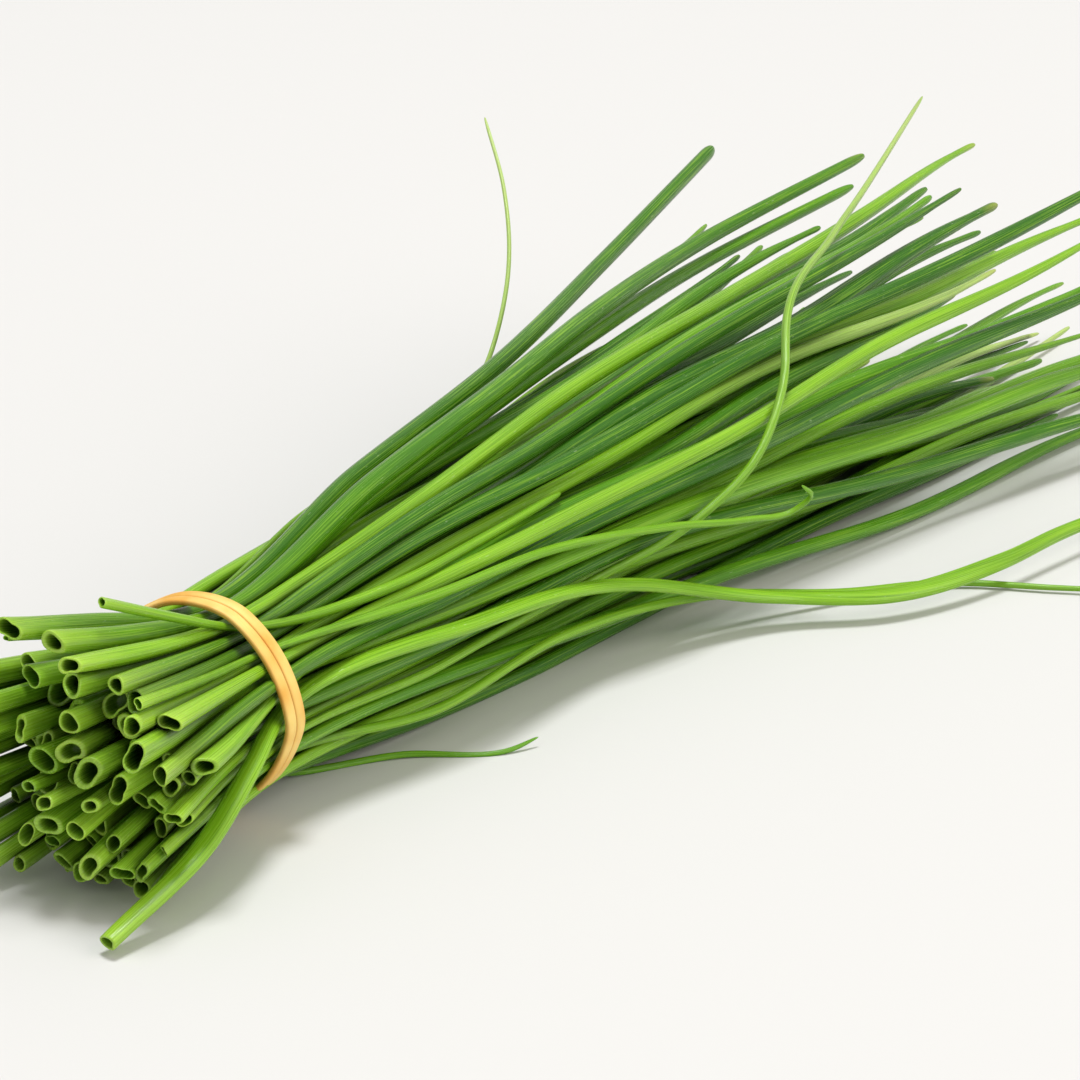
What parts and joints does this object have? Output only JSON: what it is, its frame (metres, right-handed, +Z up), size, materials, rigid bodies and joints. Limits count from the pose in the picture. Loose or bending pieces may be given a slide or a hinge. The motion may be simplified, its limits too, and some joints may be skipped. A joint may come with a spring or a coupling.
{
  "type": "chive bunch",
  "caption": "Bunch of fresh cut chives held by a doubled rubber band, lying on its side, with leaves fanning out and hollow cut ends.",
  "frame": {"origin": "centre of the bounding box's bottom face, on the table under the bunch", "axes": "+X along the bunch from the cut ends to the leaf tips, +Z up, and the band stands across X near -X"},
  "size_m": [0.3306, 0.1523, 0.0563],
  "materials": {
    "chive_deep": "waxy deep green leaf skin",
    "chive_mid": "waxy green leaf skin",
    "chive_light": "waxy light green leaf skin",
    "chive_pale": "thin dry pale green leaf skin",
    "rubber": "matte natural tan rubber"
  },
  "bodies": {
    "root": {"chive_pair_01": "chive_mid", "chive_pair_02": "chive_mid", "chive_pair_03": "chive_mid", "chive_pair_04": "chive_deep", "chive_pair_05": "chive_mid", "chive_pair_06": "chive_deep", "chive_pair_07": "chive_deep", "chive_pair_08": "chive_mid", "chive_pair_09": "chive_deep", "chive_pair_10": "chive_deep", "chive_pair_11": "chive_deep", "chive_pair_12": "chive_deep", "chive_pair_13": "chive_deep", "chive_pair_14": "chive_deep", "chive_pair_15": "chive_light", "chive_pair_16": "chive_deep", "chive_pair_17": "chive_mid", "chive_pair_18": "chive_mid", "chive_pair_19": "chive_light", "chive_pair_20": "chive_mid", "chive_pair_21": "chive_deep", "chive_pair_22": "chive_light", "chive_pair_23": "chive_mid", "chive_pair_24": "chive_mid", "chive_pair_25": "chive_mid", "chive_pair_26": "chive_light", "chive_pair_27": "chive_mid", "chive_pair_28": "chive_mid", "chive_pair_29": "chive_mid", "chive_pair_30": "chive_mid", "chive_pair_31": "chive_mid", "chive_pair_32": "chive_deep", "chive_pair_33": "chive_deep", "chive_pair_34": "chive_deep", "chive_pair_35": "chive_deep", "chive_pair_36": "chive_mid", "chive_pair_37": "chive_mid", "chive_pair_38": "chive_mid", "chive_pair_39": "chive_deep", "chive_pair_40": "chive_mid", "chive_pair_41": "chive_deep", "straight_chive": "chive_deep", "long_top_chive": "chive_deep", "second_top_chive": "chive_mid", "broken_chive": "chive_light", "hooked_chive": "chive_light", "crossing_chive": "chive_pale", "flat_chive": "chive_light", "low_chive": "chive_light", "table_chive": "chive_mid", "wispy_chive": "chive_pale", "rubber_band": "rubber"}
  },
  "joints": []
}
